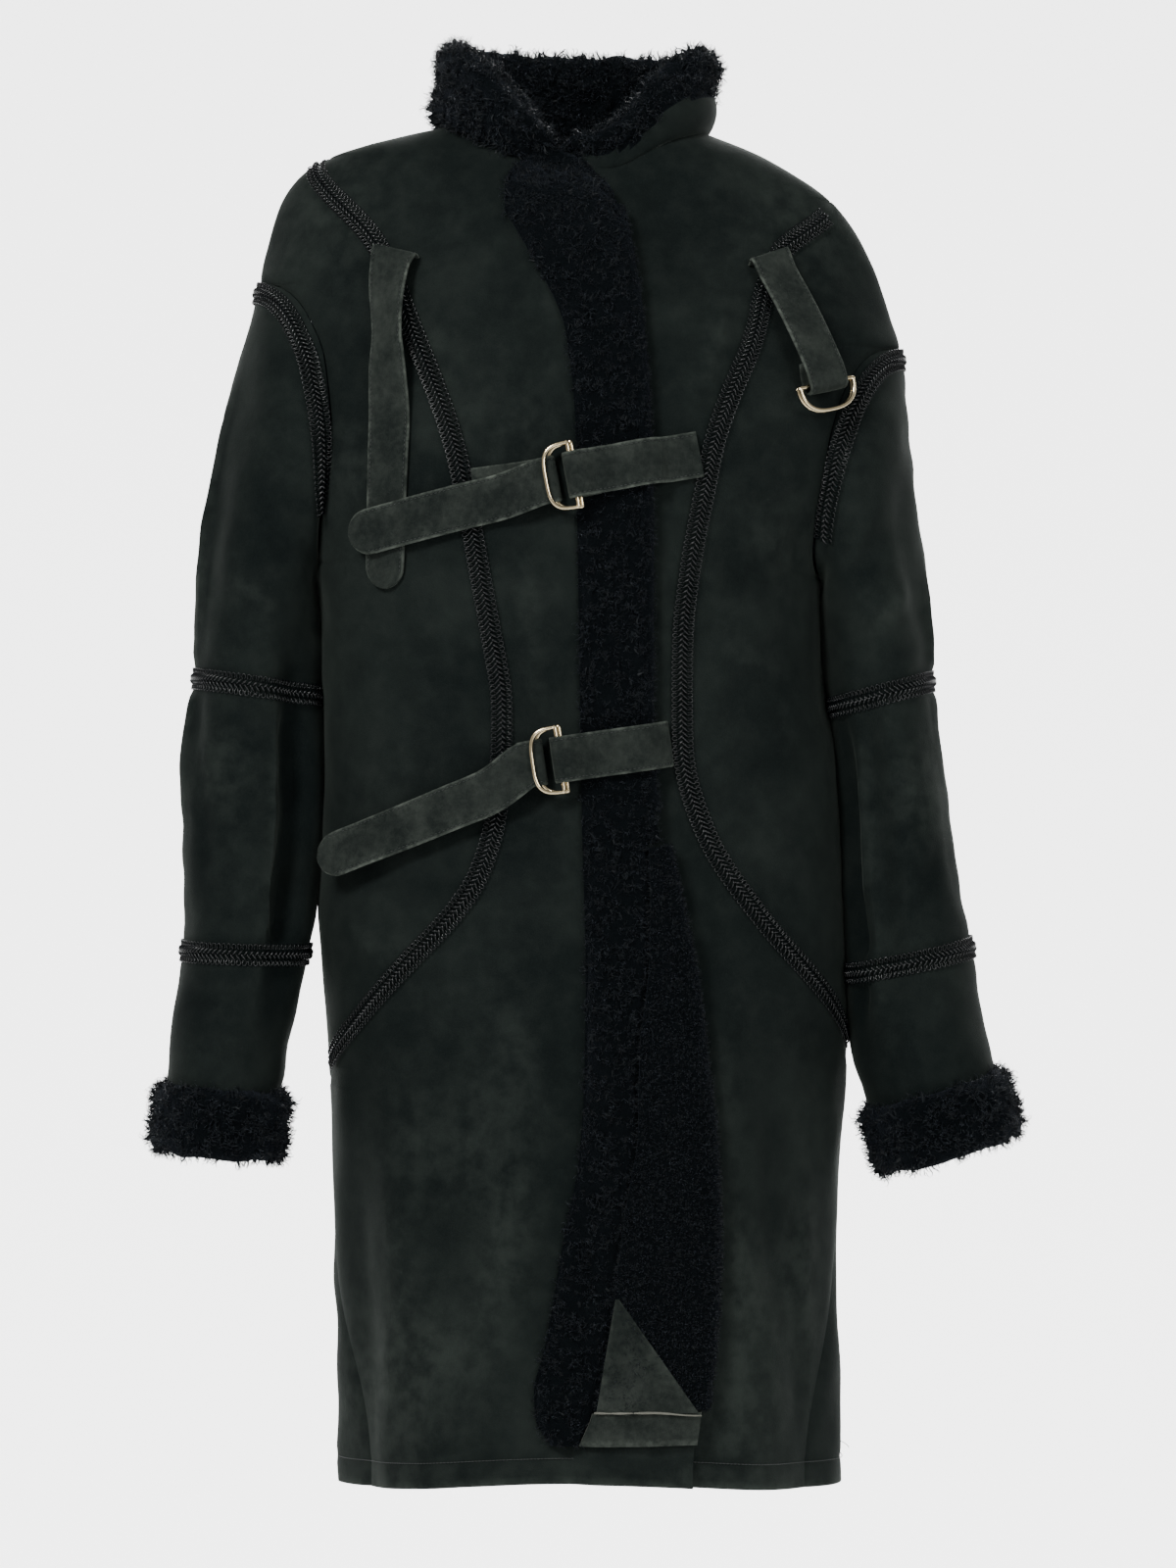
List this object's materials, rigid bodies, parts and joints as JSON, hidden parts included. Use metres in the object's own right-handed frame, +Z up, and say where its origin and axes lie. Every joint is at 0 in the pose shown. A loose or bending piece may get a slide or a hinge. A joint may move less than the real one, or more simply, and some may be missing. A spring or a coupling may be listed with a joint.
{
  "type": "shearling coat",
  "caption": "Knee-length black-green suede coat with curly pile inside, fur collar and cuffs, gimp braid on the seams and straps with double D-rings.",
  "frame": {"origin": "middle of the neck opening, between the wearer's shoulders, where the worn coat is held up", "axes": "+Z up, the wearer faces -Y, +X to the wearer's left"},
  "size_m": [0.6969, 0.3462, 1.142],
  "materials": {
    "suede": "matt napped suede, dark green-black, paler where rubbed",
    "curly_fur": "short curly pile, blue-black",
    "braid": "glossy black gimp cord",
    "strap": "matt suede, stitched edges",
    "gold_ring": "polished pale gold plate"
  },
  "bodies": {
    "coat": {"front_right": "suede", "front_left": "suede", "side_front_right": "suede", "side_front_left": "suede", "back": "suede", "side_back_right": "suede", "side_back_left": "suede", "sleeve_upper_right": "suede", "sleeve_middle_right": "suede", "sleeve_lower_right": "suede", "sleeve_upper_left": "suede", "sleeve_middle_left": "suede", "sleeve_lower_left": "suede", "cuff_right": "curly_fur", "cuff_left": "curly_fur", "collar": "curly_fur", "front_fur_strip": "curly_fur", "front_revers": "curly_fur", "hem_turnup": "suede", "corner_patch": "suede", "braid_front_right": "braid", "braid_front_left": "braid", "braid_back_right": "braid", "braid_back_left": "braid", "braid_armhole_right": "braid", "braid_armhole_left": "braid", "braid_elbow_right": "braid", "braid_elbow_left": "braid", "braid_forearm_right": "braid", "braid_forearm_left": "braid", "strap_upper_tongue": "strap", "strap_upper_rings": "strap", "strap_lower_tongue": "strap", "strap_lower_rings": "strap", "strap_top_tongue": "strap", "strap_top_rings": "strap", "ring_upper_a": "gold_ring", "ring_upper_b": "gold_ring", "ring_lower_a": "gold_ring", "ring_lower_b": "gold_ring"},
    "loose_rings": {"ring_loose_a": "gold_ring", "ring_loose_b": "gold_ring"}
  },
  "joints": [
    {"name": "loose_ring_swing", "type": "hinge", "parent": "coat", "child": "loose_rings", "pos_m": [0.18778, -0.10385, -0.20827], "axis": [-0.8375, -0.4977, -0.2257], "range_deg": [0, 140]}
  ]
}
